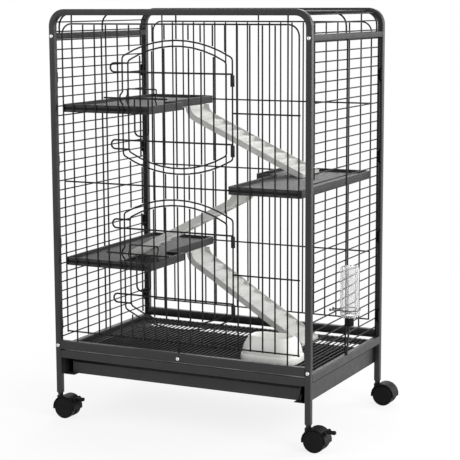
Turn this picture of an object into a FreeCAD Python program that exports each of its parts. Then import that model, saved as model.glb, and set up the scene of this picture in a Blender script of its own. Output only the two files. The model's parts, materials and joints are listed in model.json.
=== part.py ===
import FreeCAD, Part
import Sketcher
import math
import os
import re
from types import SimpleNamespace
from FreeCAD import Placement, Rotation, Vector

# Small animal cage on casters: square-tube hoops, welded wire panels, two arched doors, three moulded
# decks with ramps, a floor grate over a pull-out tray, a bowl and a drinking bottle.
# Millimetres, +Z up, the front faces -Y, the floor is z = 0.

os.makedirs("parts", exist_ok=True)
doc = FreeCAD.newDocument("SmallAnimalCage")
X, Y, Z = Vector(1, 0, 0), Vector(0, 1, 0), Vector(0, 0, 1)

# Driving dimensions
SIZES = {
    # tube frame
    "frame_width": 650, "frame_depth": 438, "frame_top": 952, "leg_bottom": 58,
    "tube": 14, "tube_wall": 1.2, "bend_radius": 32, "crossbar_bottom": 884,
    # base rails and floor
    "rail_top": 184, "rail_split": 163, "rail_bottom": 142, "rail_setback": 2, "side_rail_bottom": 148,
    "side_rail_top": 168,
    "rear_slot": 5, "runner_bottom": 101.7, "runner_top": 152.5, "sheet_steel": 1.5,
    "runner_lower_flange": 30, "runner_upper_flange": 20,
    "grate_wire": 3, "grate_cross_wire": 4, "grate_margin": 6, "grate_edge": 2, "grate_side_gap": 5,
    # waste tray
    "tray_side_gap": 18, "tray_front_gap": 11, "tray_back_gap": 9, "tray_height": 34, "tray_wall": 1.5,
    "tray_rim": 6,
    # wire panels
    "panel_wire": 3.6, "border_inset": 24.5, "border_gap": 25.75, "border_top": 919,
    "border_bottom": 207, "border_bend": 25, "lower_wire": 373, "middle_rise": 186.5, "upper_rise": 168.5,
    "side_wire": 3, "side_upright": 4, "side_pitch": 21.58, "side_first_wire": 191.5,
    "side_border_inset": 11, "top_first_wire": 901, "top_border_inset": 22,
    # doors
    "upper_door_centre": 737, "lower_door_centre": 385, "frame_half_width": 137, "frame_shoulder": 104,
    "frame_apex": 147, "loop_corner": 10, "leaf_half_width": 122, "leaf_shoulder": 95, "leaf_apex": 134.5,
    "leaf_pitch": 30.5, "leaf_gap": 0.3, "door_bar": 4, "door_bar_height": 76, "hook_reach": 165,
    "hook_end": 118, "hook_diameter": 20, "sleeve_height": 25, "sleeve_wall": 2.5, "hinge_play": 0.05,
    "keeper_low": 4, "keeper_high": 32, "keeper_depth": 6.5, "keeper_slope": 8, "keeper_bend": 4,
    # latches
    "bolt_height": 18, "bolt_left": 183, "bolt_right": 21, "grip_left": 104, "grip_right": 69,
    "grip_drop": 84, "grip_bend": 12, "guide_left": 122, "guide_right": 48.9, "guide_wire": 3.2,
    "guide_top": 39, "guide_bend": 2, "guide_kink_start": 4, "guide_kink_end": 9, "guide_tail": 14,
    "wire_gap": 0.3, "bend_sag": 0.4,
    # clips and screws
    "clip_height": 32, "clip_jaw": 2.2, "clip_play": 0.3, "clip_back": 3.5, "clip_first": 219,
    "clip_pitch": 192.7, "screw_head": 9, "screw_head_height": 2.4, "base_screw": 172,
    # decks
    "deck_side_gap": 20, "deck_overhang": 1.5, "deck_wide": 224, "deck_narrow": 176,
    "deck_narrow_length": 247, "deck_rim": 6, "deck_rim_height": 9, "deck_floor": 2, "deck_plate": 3,
    "deck_corner": 8,
    # ramps
    "ramp_width": 97, "ramp_start": 97, "ramp_landing": 97, "ramp_band": 14, "ramp_bend": 38.5,
    "ramp_wall": 3, "ramp_plate": 3, "ramp_toe": 14, "nose_drop": 1.5, "tread_rise": 9, "hook_gap": 0.3,
    # bowl
    "bowl_from_right": 144, "bowl_from_front": 126, "bowl_length": 140, "bowl_width": 96,
    "bowl_rim_length": 108, "bowl_height": 57, "bowl_corner": 35, "bowl_wall": 4, "bowl_floor": 12,
    "bowl_draft": 8,
    # drinking bottle
    "bottle_stand_off": 28, "bottle_from_front": 165, "bottle_radius": 21.5, "bottle_bottom": 266,
    "bottle_top": 382,
    "bottle_shoulder": 5, "bottle_wall": 1.4, "bottle_neck": 7.5, "cap_radius": 10.3, "cap_height": 20,
    "spout_radius": 2.3, "spout_bore": 1.2, "spout_length": 69, "spout_lean": 6,
    "holder_wire": 3, "holder_end": 10, "holder_spread": 9, "holder_knob": 6.8,
    # casters
    "wheel_radius": 25, "wheel_outer_face": 20, "wheel_inner_face": 4.4,
    "axle_radius": 3, "caster_trail": 19, "hood_radius": 28.5,
    "hood_bore": 25.8, "hood_half_width": 19, "hood_web": 4, "hood_skirt": 4, "boss_radius": 8.5,
    "boss_top": 49, "stem_radius": 6, "stem_plug": 5.5, "stem_plug_height": 20, "stem_collar": 6.8,
    "collar_height": 2, "lever_pivot_radius": 32.5, "lever_pivot_angle": 40, "lever_barrel": 3.4,
    "lever_pin": 1.75, "lever_half_width": 10.5, "lug_width": 3, "lug_gap": 0.3, "lug_radius": 4.2,
    "lever_length": 21, "lever_thickness": 6,
}
WIRE_SIDES = 6
BEND_FACETS = 7
ROUND_SIDES = 20
PIN_SIDES = 12
CORNER_FACETS = 4
SCREW_SIDES = 8
HOLDER_ROW = 4
BARS_PER_SIDE = 9
LEAF_BARS = 3
SIDE_WIRES = 33
TOP_STEPS = 16
GRATE_STEPS = 25
CLIPS_PER_POST = 4
TREADS = 10

sheet = doc.addObject("Spreadsheet::Sheet", "Sizes")
for row, (alias, value) in enumerate(SIZES.items(), 1):
    sheet.set(f"A{row}", alias)
    sheet.set(f"B{row}", str(value))
    sheet.setAlias(f"B{row}", alias)
doc.recompute()
dim = SimpleNamespace(**{alias: float(sheet.get(alias)) for alias in SIZES})


# Expressions: plain alias names in, bound formulas out
def formula(text):
    return re.sub(r"[a-z_]+", lambda m: "Sizes." + m.group() if m.group() in SIZES else m.group(), text)


def number(text):
    return float(sheet.evalExpression(formula(text)))


def bind(item, **properties):
    for name, text in properties.items():
        item.setExpression(name.replace("__", "."), formula(text))


def place(item, at):
    bind(item, Placement__Base__x=at[0], Placement__Base__y=at[1], Placement__Base__z=at[2])


def block(name, extent, at):
    item = doc.addObject("Part::Box", name)
    bind(item, Length=extent[0], Width=extent[1], Height=extent[2])
    place(item, at)
    return item


def boolean(kind, name, base, tool):
    item = doc.addObject("Part::" + kind, name)
    item.Base = base
    item.Tool = tool
    return item


def feature(name, shape):
    item = doc.addObject("Part::Feature", name)
    item.Shape = shape
    return item


def origin_plane(body, role):
    return next(plane for plane in body.Origin.OriginFeatures if plane.Role == role)


def outline(body, name, role, corners):
    """A closed sketch of straight lines whose corners are bound to formulas."""
    sketch = body.newObject("Sketcher::SketchObject", name)
    sketch.AttachmentSupport = [(origin_plane(body, role), "")]
    sketch.MapMode = "FlatFace"
    spots = [Vector(number(across), number(along), 0) for across, along in corners]
    last = len(spots)
    for index, spot in enumerate(spots):
        sketch.addGeometry(Part.LineSegment(spot, spots[(index + 1) % last]))
    for index, (across, along) in enumerate(corners):
        sketch.addConstraint(Sketcher.Constraint("Coincident", index, 2, (index + 1) % last, 1))
        spot = spots[index]
        for axis, text, value in (("DistanceX", across, spot.x), ("DistanceY", along, spot.y)):
            bound = sketch.addConstraint(Sketcher.Constraint(axis, -1, 1, index, 1, value))
            sketch.setExpression(f"Constraints[{bound}]", formula(text))
    return sketch


# Wires: straight and bent rods of flat-sided section, so that crossing wires bear face to face
def section(centre, along, flat, thickness, sides):
    """Corners of a regular polygon square to the wire; flat is the direction that one flat side faces."""
    along = Vector(along).normalize()
    flat = Vector(flat).normalize()
    cross = along.cross(flat)
    corner = thickness / 2 / math.cos(math.pi / sides)
    turns = [2 * math.pi * (step + 1 / 2) / sides for step in range(sides)]
    return [centre + flat * (corner * math.cos(turn)) + cross * (corner * math.sin(turn)) for turn in turns]


def reach(thickness):
    """Half the width of a wire across its corners."""
    return thickness / 2 / math.cos(math.pi / WIRE_SIDES)


def polygon(corners):
    return Part.Face(Part.makePolygon(corners + corners[:1]))


def rod(start, end, thickness, flat, sides=WIRE_SIDES):
    return polygon(section(start, end - start, flat, thickness, sides)).extrude(end - start)


def rounded_path(points, bend):
    """Straight edges between the points, with an arc of the bend radius at each inner corner."""
    edges, at = [], points[0]
    for before, corner, after in zip(points, points[1:], points[2:]):
        into = (corner - before).normalize()
        out = (after - corner).normalize()
        turn = into.getAngle(out)
        cut = bend * math.tan(turn / 2)
        start, end = corner - into * cut, corner + out * cut
        inward = (out - into).normalize()
        middle = corner + inward * (bend / math.cos(turn / 2) - bend)
        edges.append(Part.makeLine(at, start))
        edges.append(Part.Arc(start, middle, end).toShape())
        at = end
    edges.append(Part.makeLine(at, points[-1]))
    return edges


def lofted(rings, closed=False):
    """A solid with flat faces between rings of matching corners."""
    faces = [] if closed else [polygon(rings[0]), polygon(rings[-1])]
    for near, far in zip(rings, rings[1:]):
        for side in range(len(near)):
            faces.append(polygon([near[side - 1], near[side], far[side], far[side - 1]]))
    solid = Part.Solid(Part.makeShell(faces))
    return solid if solid.Volume > 0 else solid.reversed()


def tube(edges, thickness, flat):
    """A square bar along connected edges, extruded on the lines and revolved on the arcs."""
    begin, along = edges[0].valueAt(edges[0].FirstParameter), edges[0].tangentAt(edges[0].FirstParameter)
    face = polygon(section(begin, along, flat, thickness, 4))
    pieces = []
    for edge in edges:
        if isinstance(edge.Curve, Part.Line):
            travel = edge.valueAt(edge.LastParameter) - edge.valueAt(edge.FirstParameter)
            pieces.append(face.extrude(travel))
            face = face.translated(travel)
        else:
            turn = math.degrees(edge.LastParameter - edge.FirstParameter)
            pieces.append(face.revolve(edge.Curve.Center, edge.Curve.Axis, turn))
            face = face.rotated(edge.Curve.Center, edge.Curve.Axis, turn)
    return pieces[0].multiFuse(pieces[1:]).removeSplitter()


def chords(edges):
    """Points along the edges, with enough on each arc to keep within the bend's sag."""
    points = [edges[0].valueAt(edges[0].FirstParameter)]
    for edge in edges:
        count = 1
        if isinstance(edge.Curve, Part.Circle):
            turn = edge.LastParameter - edge.FirstParameter
            fine = 2 * math.acos(1 - dim.bend_sag / edge.Curve.Radius)
            count = math.ceil(turn / min(fine, math.pi / BEND_FACETS))
        points += edge.discretize(count + 1)[1:]
    return points


def wire(edges, thickness, flat, sides=WIRE_SIDES):
    """A bent rod along connected edges, lofted through mitred joints; a path that meets itself is closed."""
    points = chords(edges)
    closed = points[0].isEqual(points[-1], dim.wire_gap)
    ways = [(after - before).normalize() for before, after in zip(points, points[1:])]
    mitres = [before + after for before, after in zip(ways, ways[1:])]
    seam = ways[-1] + ways[0]
    mitres = [seam if closed else ways[0]] + mitres + [seam if closed else ways[-1]]
    ring = section(points[0], ways[0], flat, thickness, sides)
    rings = []
    for point, way, mitre in zip(points, ways[:1] + ways, mitres):
        ring = [spot + way * ((point - spot).dot(mitre) / way.dot(mitre)) for spot in ring]
        rings.append(ring)
    if closed:
        rings[-1] = rings[0]
    return lofted(rings, closed)


def group(shapes):
    return Part.makeCompound(shapes)


# Places shared by several pieces
post_x = dim.frame_width / 2 - dim.tube / 2
post_y = dim.frame_depth / 2 - dim.tube / 2
hoop_underside = dim.frame_top - dim.tube
panel_head = dim.border_top - reach(dim.panel_wire)
panel_foot = dim.border_bottom - dim.panel_wire / 2
inner_layer = post_y - dim.panel_wire
middle_wire = dim.lower_wire + dim.middle_rise
upper_wire = middle_wire + dim.upper_rise
border_side = post_x - dim.border_inset
bar_pitch = (border_side - dim.border_gap) / BARS_PER_SIDE
side_border = post_y - dim.side_border_inset
leaf_y = -post_y - dim.leaf_gap
leaf_face = leaf_y - dim.panel_wire / 2
grate_top = dim.runner_top + dim.grate_cross_wire + dim.grate_wire
SIDES = {"left": -1, "right": 1}
ENDS = {"front": -1, "rear": 1}
LEVELS = {"upper": dim.upper_door_centre, "lower": dim.lower_door_centre}
nodes = {}


# Square-tube frame: two hoops joined by crossbars and base rails
def hoop(y):
    corners = [Vector(-post_x, y, dim.leg_bottom), Vector(-post_x, y, dim.frame_top - dim.tube / 2),
               Vector(post_x, y, dim.frame_top - dim.tube / 2), Vector(post_x, y, dim.leg_bottom)]
    path = rounded_path(corners, dim.bend_radius)
    bore = dim.tube - 2 * dim.tube_wall
    return tube(path, dim.tube, Y).cut(tube(path, bore, Y))


def tube_rail(name, extent, at, along):
    """An open-ended rectangular tube; along is the index of its long axis."""
    outer = block(name + "_outer", extent, at)
    hollow = [text if axis == along else f"{text} - 2 * tube_wall" for axis, text in enumerate(extent)]
    start = [text if axis == along else f"{text} + tube_wall" for axis, text in enumerate(at)]
    return boolean("Cut", name, outer, block(name + "_hollow", hollow, start))


for end, way in ENDS.items():
    nodes[end + "_hoop"] = feature(end + "_hoop", hoop(way * post_y))

ACROSS, DEEP = "frame_width - 2 * tube", "frame_depth - 2 * tube"
side_starts = {"left": "-frame_width / 2", "right": "frame_width / 2 - tube"}
for side, start in side_starts.items():
    nodes[side + "_crossbar"] = tube_rail(
        side + "_crossbar", ("tube", DEEP, "tube"), (start, "-frame_depth / 2 + tube", "crossbar_bottom"), 1)
    nodes[side + "_base_rail"] = tube_rail(
        side + "_base_rail", ("tube", DEEP, "side_rail_top - side_rail_bottom"),
        (start, "-frame_depth / 2 + tube", "side_rail_bottom"), 1)

LEFT_INNER = "-frame_width / 2 + tube"
for end, start in {"front": "-frame_depth / 2", "rear": "frame_depth / 2 - tube"}.items():
    nodes[end + "_upper_rail"] = tube_rail(
        end + "_upper_rail", (ACROSS, "tube", "rail_top - rail_split"), (LEFT_INNER, start, "rail_split"), 0)
lower_rails = {"front": ("-frame_depth / 2 + rail_setback", "rail_split - rail_bottom"),
               "rear": ("frame_depth / 2 - tube", "rail_split - rail_bottom - rear_slot")}
for end, (start, height) in lower_rails.items():
    nodes[end + "_lower_rail"] = tube_rail(
        end + "_lower_rail", (ACROSS, "tube - rail_setback", height), (LEFT_INNER, start, "rail_bottom"), 0)


# Folded runners under the side rails, which carry the tray and the floor grate
def runner(name, way):
    web, inner = f"{way} * (frame_width / 2 - tube)", f"{way} * (frame_width / 2 - tube - sheet_steel)"
    low_lip = f"{way} * (frame_width / 2 - tube - runner_lower_flange)"
    top_lip = f"{way} * (frame_width / 2 - tube - runner_upper_flange)"
    body = doc.addObject("PartDesign::Body", name)
    profile = outline(body, name + "_profile", "XZ_Plane", [
        (web, "runner_bottom"), (low_lip, "runner_bottom"), (low_lip, "runner_bottom + sheet_steel"),
        (inner, "runner_bottom + sheet_steel"), (inner, "runner_top - sheet_steel"),
        (top_lip, "runner_top - sheet_steel"), (top_lip, "runner_top"), (web, "runner_top")])
    pad = body.newObject("PartDesign::Pad", name + "_length")
    pad.Profile = profile
    pad.Midplane = True
    bind(pad, Length=DEEP)
    return body


for side, way in SIDES.items():
    nodes[side + "_tray_runner"] = runner(side + "_tray_runner", way)


def floor_grate():
    reach_x = dim.frame_width / 2 - dim.tube - dim.grate_side_gap
    reach_y = dim.frame_depth / 2 - dim.tube - dim.grate_edge
    low = dim.runner_top + dim.grate_cross_wire / 2
    high = dim.runner_top + dim.grate_cross_wire + dim.grate_wire / 2
    end_y = reach_y - dim.grate_cross_wire
    pitch = (reach_x - dim.grate_margin) / GRATE_STEPS
    cross = [rod(Vector(-reach_x, y, low), Vector(reach_x, y, low), dim.grate_cross_wire, Z)
             for y in (-end_y, -reach_y / 2, 0, reach_y / 2, end_y)]
    fine = [rod(Vector(step * pitch, -reach_y, high), Vector(step * pitch, reach_y, high), dim.grate_wire, Z)
            for step in range(-GRATE_STEPS, GRATE_STEPS + 1)]
    return group(cross + fine)


nodes["floor_grate"] = feature("floor_grate", floor_grate())


# Pull-out waste tray: a pressed pan with an outward rim
def waste_tray():
    side, front = "(frame_width / 2 - tube - tray_side_gap)", "(tube + tray_front_gap - frame_depth / 2)"
    depth, base = "(frame_depth - 2 * tube - tray_front_gap - tray_back_gap)", "(runner_bottom + sheet_steel)"
    pan = block("tray_pan", (f"2 * {side}", depth, "tray_height"), (f"-{side}", front, base))
    rim = block("tray_rim_sheet", (f"2 * ({side} + tray_rim)", depth, "tray_wall"),
                (f"-({side} + tray_rim)", front, f"{base} + tray_height - tray_wall"))
    hollow = block("tray_hollow", (f"2 * ({side} - tray_wall)", f"{depth} - 2 * tray_wall", "tray_height"),
                   (f"tray_wall - {side}", f"{front} + tray_wall", f"{base} + tray_wall"))
    return boolean("Cut", "waste_tray", boolean("Fuse", "tray_blank", pan, rim), hollow)


nodes["waste_tray"] = waste_tray()


# Welded wire panels
def upright(x, y, low, high, thickness=dim.panel_wire):
    return rod(Vector(x, y, low), Vector(x, y, high), thickness, Y)


def level_wire(left, right, y, height):
    return rod(Vector(left, y, height), Vector(right, y, height), dim.panel_wire, Y)


def is_long(step):
    return step in (-BARS_PER_SIDE, 0, BARS_PER_SIDE)


def stub(x, y):
    return upright(x, y, dim.border_top + reach(dim.panel_wire), hoop_underside)


def full_bar(step, y):
    x = step * bar_pitch
    bar = [upright(x, y, dim.rail_top if is_long(step) else panel_foot, panel_head)]
    return bar + [stub(x, y)] if is_long(step) else bar


def panel_border(y):
    corners = [Vector(-border_side, y, panel_foot), Vector(-border_side, y, dim.border_top),
               Vector(border_side, y, dim.border_top), Vector(border_side, y, panel_foot)]
    return wire(rounded_path(corners, dim.border_bend), dim.panel_wire, Y)


def rear_panel():
    edge = border_side + dim.panel_wire / 2
    levels = (dim.border_bottom, dim.lower_wire, middle_wire, upper_wire)
    shapes = [panel_border(post_y)] + [level_wire(-edge, edge, inner_layer, height) for height in levels]
    for step in range(-BARS_PER_SIDE, BARS_PER_SIDE + 1):
        shapes += full_bar(step, post_y)
    return group(shapes)


def side_panel(way):
    x, layer = way * post_x, way * (post_x - dim.side_upright / 2 - dim.side_wire / 2)
    edge = side_border + dim.side_wire / 2
    heights = [dim.side_first_wire + step * dim.side_pitch for step in range(SIDE_WIRES)]
    rows = [rod(Vector(layer, -edge, height), Vector(layer, edge, height), dim.side_wire, X)
            for height in heights]
    posts = [rod(Vector(x, y, dim.side_rail_top), Vector(x, y, dim.crossbar_bottom), dim.side_upright, X)
             for y in (-side_border, 0, side_border)]
    return group(rows + posts)


def top_panel():
    """Wires from hoop to hoop, laid round the bends, on hoops of wire that stand on the crossbars."""
    straight = dim.frame_top - dim.tube / 2 - dim.bend_radius - dim.top_first_wire
    arc = dim.bend_radius * math.pi / 2
    flat = post_x - dim.bend_radius
    pitch = (straight + arc + flat) / TOP_STEPS
    edge = dim.frame_depth / 2 - dim.tube
    shapes = []
    for step in range(-TOP_STEPS, TOP_STEPS + 1):
        travel = (TOP_STEPS - abs(step)) * pitch
        turn = min(max(travel - straight, 0) / dim.bend_radius, math.pi / 2)
        x = flat + dim.bend_radius * math.cos(turn) - max(travel - straight - arc, 0)
        height = dim.top_first_wire + min(travel, straight) + dim.bend_radius * math.sin(turn)
        x = math.copysign(x, step)
        shapes.append(rod(Vector(x, -edge, height), Vector(x, edge, height), dim.side_wire,
                          Vector(math.copysign(math.cos(turn), step), 0, math.sin(turn))))
    inset = dim.side_wire / 2 + dim.side_upright / 2
    side, roof = post_x - inset, dim.frame_top - dim.tube / 2 - inset
    foot = dim.crossbar_bottom + dim.tube
    border = post_y - dim.top_border_inset
    for y in (-border, 0, border):
        corners = [Vector(-side, y, foot), Vector(-side, y, roof),
                   Vector(side, y, roof), Vector(side, y, foot)]
        shapes.append(wire(rounded_path(corners, dim.bend_radius - inset), dim.side_upright, X))
    return group(shapes)


nodes["rear_panel"] = feature("rear_panel", rear_panel())
nodes["top_panel"] = feature("top_panel", top_panel())
for side, way in SIDES.items():
    nodes[side + "_panel"] = feature(side + "_panel", side_panel(way))


# Arched loops of the doors: straight sides, small corner arcs and a wide arch at the top and the bottom
def arch(half_width, shoulder, apex):
    rise, run, corner = apex - shoulder, half_width - dim.loop_corner, dim.loop_corner
    radius = (run ** 2 + rise ** 2 - corner ** 2) / (2 * (rise - corner))
    return SimpleNamespace(half_width=half_width, shoulder=shoulder, apex=apex, radius=radius,
                           centre=apex - radius, turn=math.atan2(shoulder - apex + radius, run))


def arch_height(shape, x):
    return shape.centre + math.sqrt(shape.radius ** 2 - x ** 2)


def arch_clear(shape, x):
    """Clear height that an upright's end leaves to the centre line of the sloping arch."""
    lean = abs(x) / shape.radius
    return reach(dim.panel_wire) * (1 + lean) / math.sqrt(1 - lean ** 2) + dim.wire_gap


def loop(shape, y, middle, keeper=False):
    def spot(x, height):
        return Vector(x, y, middle + height)

    def cap(way):
        run = shape.half_width - dim.loop_corner
        lean = dim.loop_corner * Vector(math.cos(shape.turn), 0, math.sin(shape.turn))
        half = dim.loop_corner * Vector(math.cos(shape.turn / 2), 0, math.sin(shape.turn / 2))
        ends = [spot(way * shape.half_width, way * shape.shoulder),
                spot(way * (run + half.x), way * (shape.shoulder + half.z)),
                spot(way * (run + lean.x), way * (shape.shoulder + lean.z)),
                spot(0, way * shape.apex),
                spot(-way * (run + lean.x), way * (shape.shoulder + lean.z)),
                spot(-way * (run + half.x), way * (shape.shoulder + half.z)),
                spot(-way * shape.half_width, way * shape.shoulder)]
        return [Part.Arc(*ends[first:first + 3]).toShape() for first in (0, 2, 4)]

    side = shape.half_width
    left = [spot(-side, shape.shoulder), spot(-side, -shape.shoulder)]
    if keeper:
        jog = -side - dim.keeper_depth
        left[1:1] = [spot(-side, dim.keeper_high), spot(jog, dim.keeper_high - dim.keeper_slope),
                     spot(jog, dim.keeper_low + dim.keeper_slope), spot(-side, dim.keeper_low)]
    edges = [Part.makeLine(spot(side, 0), spot(side, shape.shoulder))] + cap(1)
    edges += rounded_path(left, dim.keeper_bend) + cap(-1)
    edges.append(Part.makeLine(spot(side, -shape.shoulder), spot(side, 0)))
    return wire(edges, dim.panel_wire, Y)


frame_arch = arch(dim.frame_half_width, dim.frame_shoulder, dim.frame_apex)
leaf_arch = arch(dim.leaf_half_width, dim.leaf_shoulder, dim.leaf_apex)


# Front panel, in pieces round the two door frames
front_steps = range(1, BARS_PER_SIDE + 1)
beside_door = dim.frame_half_width + dim.keeper_depth + dim.panel_wire
behind_door = dim.frame_half_width - dim.loop_corner
side_steps = [step for step in front_steps if step * bar_pitch > beside_door]
door_steps = [step for step in front_steps if step * bar_pitch < behind_door]


def front_side(way):
    wires = []
    for step in side_steps:
        wires += full_bar(way * step, -post_y)
    outer_end = way * (border_side + dim.panel_wire / 2)
    inner_end = way * (dim.frame_half_width - dim.panel_wire / 2)
    for height in (dim.lower_wire, upper_wire):
        wires.append(level_wire(outer_end, inner_end, -inner_layer, height))
    return group(wires)


def front_infill(part):
    """Short bars above, between or below the door frames, with the full-width wire that they cross."""
    wires = []
    for step in [-step for step in door_steps[::-1]] + [0] + door_steps:
        x = step * bar_pitch
        clear = arch_height(frame_arch, x) + arch_clear(frame_arch, x)
        foot = dim.rail_top if is_long(step) else panel_foot
        low, high = {"top": (dim.upper_door_centre + clear, panel_head),
                     "middle": (dim.lower_door_centre + clear, dim.upper_door_centre - clear),
                     "bottom": (foot, dim.lower_door_centre - clear)}[part]
        wires.append(upright(x, -post_y, low, high))
        if part == "top" and is_long(step):
            wires.append(stub(x, -post_y))
    level = {"middle": middle_wire, "bottom": dim.border_bottom}.get(part)
    if level:
        edge = border_side + dim.panel_wire / 2
        wires.append(level_wire(-edge, edge, -inner_layer, level))
    return group(wires)


nodes["front_panel_border"] = feature("front_panel_border", panel_border(-post_y))
for side, way in SIDES.items():
    nodes["front_panel_" + side] = feature("front_panel_" + side, front_side(way))
for part in ("top", "middle", "bottom"):
    nodes["front_panel_" + part] = feature("front_panel_" + part, front_infill(part))


# Doors: a wire leaf with two hooked bars, hung on the frame's right-hand wire by sleeves
def hooked_bar(height, way):
    y = leaf_face - dim.door_bar / 2
    turn = dim.hook_diameter / 2
    start = dim.hook_reach - turn
    right = Vector(dim.frame_half_width, y, height)
    far = Vector(-start, y, height)
    tip = Vector(-dim.hook_reach, y, height + way * turn)
    back = Vector(-start, y, height + way * dim.hook_diameter)
    end = Vector(-dim.hook_end, y, height + way * dim.hook_diameter)
    edges = [Part.makeLine(right, far), Part.Arc(far, tip, back).toShape(), Part.makeLine(back, end)]
    return wire(edges, dim.door_bar, Y)


def hinge_sleeve(top):
    bore = reach(dim.panel_wire) + dim.hinge_play
    foot = Vector(dim.frame_half_width, -post_y, top - dim.sleeve_height)
    outside = rod(foot, foot + Z * dim.sleeve_height, 2 * (bore + dim.sleeve_wall), Y, PIN_SIDES)
    return outside.cut(Part.makeCylinder(bore, dim.sleeve_height, foot))


def door_leaf(middle):
    shapes = [loop(leaf_arch, leaf_y, middle)]
    for step in range(-LEAF_BARS, LEAF_BARS + 1):
        x = step * dim.leaf_pitch
        end = arch_height(leaf_arch, x) - arch_clear(leaf_arch, x) - dim.bend_sag
        shapes.append(upright(x, leaf_y, middle - end, middle + end))
    for way in (-1, 1):
        height = middle + way * dim.door_bar_height
        shapes += [hooked_bar(height, way), hinge_sleeve(height - reach(dim.door_bar))]
    return group(shapes)


bolt_y = leaf_face - dim.wire_gap - dim.door_bar / 2


def latch_bolt(middle):
    """A sliding rod with a hanging finger loop."""
    height = middle + dim.bolt_height
    under, low = height - reach(dim.door_bar), height - dim.grip_drop
    tip, tail = Vector(-dim.bolt_left, bolt_y, height), Vector(-dim.bolt_right, bolt_y, height)
    bolt = rod(tip, tail, dim.door_bar, Y)
    corners = [Vector(-dim.grip_left, bolt_y, under), Vector(-dim.grip_left, bolt_y, low),
               Vector(-dim.grip_right, bolt_y, low), Vector(-dim.grip_right, bolt_y, under)]
    return group([bolt, wire(rounded_path(corners, dim.grip_bend), dim.door_bar, Y)])


def latch_guide(middle):
    """A wire staple on the leaf whose legs step out round the bolt."""
    back = leaf_face - dim.guide_wire / 2
    out = bolt_y - dim.door_bar / 2 - dim.wire_gap - dim.guide_wire / 2
    height, top = middle + dim.bolt_height, middle + dim.guide_top
    leg = [(back, -dim.guide_tail), (back, -dim.guide_kink_end), (out, -dim.guide_kink_start),
           (out, dim.guide_kink_start), (back, dim.guide_kink_end)]
    rise = [Vector(-dim.guide_left, y, height + offset) for y, offset in leg]
    fall = [Vector(-dim.guide_right, y, height + offset) for y, offset in reversed(leg)]
    head = [Vector(-dim.guide_left, back, top), Vector(-dim.guide_right, back, top)]
    return wire(rounded_path(rise + head + fall, dim.guide_bend), dim.guide_wire, Y)


for level, middle in LEVELS.items():
    door_frame = loop(frame_arch, -post_y, middle, keeper=True)
    nodes[level + "_door_frame"] = feature(level + "_door_frame", door_frame)
    nodes[level + "_door"] = feature(level + "_door", door_leaf(middle))
    nodes[level + "_latch_bolt"] = feature(level + "_latch_bolt", latch_bolt(middle))
    nodes[level + "_latch_guide"] = feature(level + "_latch_guide", latch_guide(middle))


# Panel clips on the posts and the screws of the frame
def panel_clip(side, end, height):
    slot = reach(dim.side_upright) + dim.clip_play
    wire_x, wire_y = side * post_x, end * side_border
    face = end * (dim.frame_depth / 2 - dim.tube)
    near = end * (side_border - slot - dim.clip_jaw)
    inner = wire_x - side * (dim.side_upright / 2 - dim.clip_play)
    outer = wire_x + side * (slot + dim.clip_back)
    low = height - dim.clip_height / 2

    def box(from_x, to_x, from_y, to_y):
        corner = Vector(min(from_x, to_x), min(from_y, to_y), low)
        return Part.makeBox(abs(to_x - from_x), abs(to_y - from_y), dim.clip_height, corner)

    channel = box(inner, wire_x + side * slot, wire_y - slot, wire_y + slot)
    return box(inner, outer, near, face).cut(channel)


def screw(x, end, height):
    face = Vector(x, end * dim.frame_depth / 2, height)
    return rod(face, face + Y * (end * dim.screw_head_height), dim.screw_head, X, SCREW_SIDES)


clip_heights = [dim.clip_first + step * dim.clip_pitch for step in range(CLIPS_PER_POST)]
nodes["panel_clips"] = feature("panel_clips", group(
    [panel_clip(side, end, height) for side in (-1, 1) for end in (-1, 1) for height in clip_heights]))
screw_spots = [(way * post_x, height) for way in (-1, 1)
               for height in (dim.base_screw, dim.crossbar_bottom + dim.tube / 2)] + [(0, dim.base_screw)]
nodes["screws"] = feature("screws", group(
    [screw(x, end, height) for end in (-1, 1) for x, height in screw_spots]))


# Moulded decks: a stepped tray with lips that clip over the wires of the front and rear panels
deck_left = dim.deck_side_gap - post_x
deck_back = inner_layer + dim.deck_overhang
deck_step = deck_back - dim.deck_narrow_length
deck_edge = deck_left + dim.deck_narrow


def slab(face_wire, low, high):
    face = Part.Face(face_wire)
    face.translate(Z * low)
    return face.extrude(Z * (high - low))


def softened(corners, radius):
    """A right-angled outline whose corners are faceted quarter rounds."""
    points = []
    for index, corner in enumerate(corners):
        back = (corners[index - 1] - corner).normalize()
        ahead = (corners[(index + 1) % len(corners)] - corner).normalize()
        centre = corner + (back + ahead) * radius
        for step in range(CORNER_FACETS + 1):
            turn = math.pi / 2 * step / CORNER_FACETS
            points.append(centre - ahead * (radius * math.cos(turn)) - back * (radius * math.sin(turn)))
    return Part.makePolygon(points + points[:1])


def deck():
    right = deck_left + dim.deck_wide
    corners = [Vector(deck_left, -deck_back, 0), Vector(right, -deck_back, 0),
               Vector(right, deck_step, 0), Vector(deck_edge, deck_step, 0),
               Vector(deck_edge, deck_back, 0), Vector(deck_left, deck_back, 0)]
    inside = Part.makePolygon(corners + corners[:1]).makeOffset2D(-dim.deck_rim)
    plate_under = dim.deck_floor - dim.deck_plate
    solid = slab(softened(corners, dim.deck_corner), -dim.deck_rim_height, dim.deck_rim_height)
    solid = solid.cut(slab(inside, dim.deck_floor, dim.deck_rim_height))
    solid = solid.cut(slab(inside, -dim.deck_rim_height, plate_under))
    groove_inner = inner_layer - dim.panel_wire / 2 - dim.wire_gap
    for end in (-1, 1):
        start = min(end * groove_inner, end * deck_back)
        corner = Vector(deck_left, start, -reach(dim.panel_wire) - dim.wire_gap)
        height = 2 * reach(dim.panel_wire) + dim.wire_gap
        solid = solid.cut(Part.makeBox(dim.deck_wide, deck_back - groove_inner, height, corner))
    return solid


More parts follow.
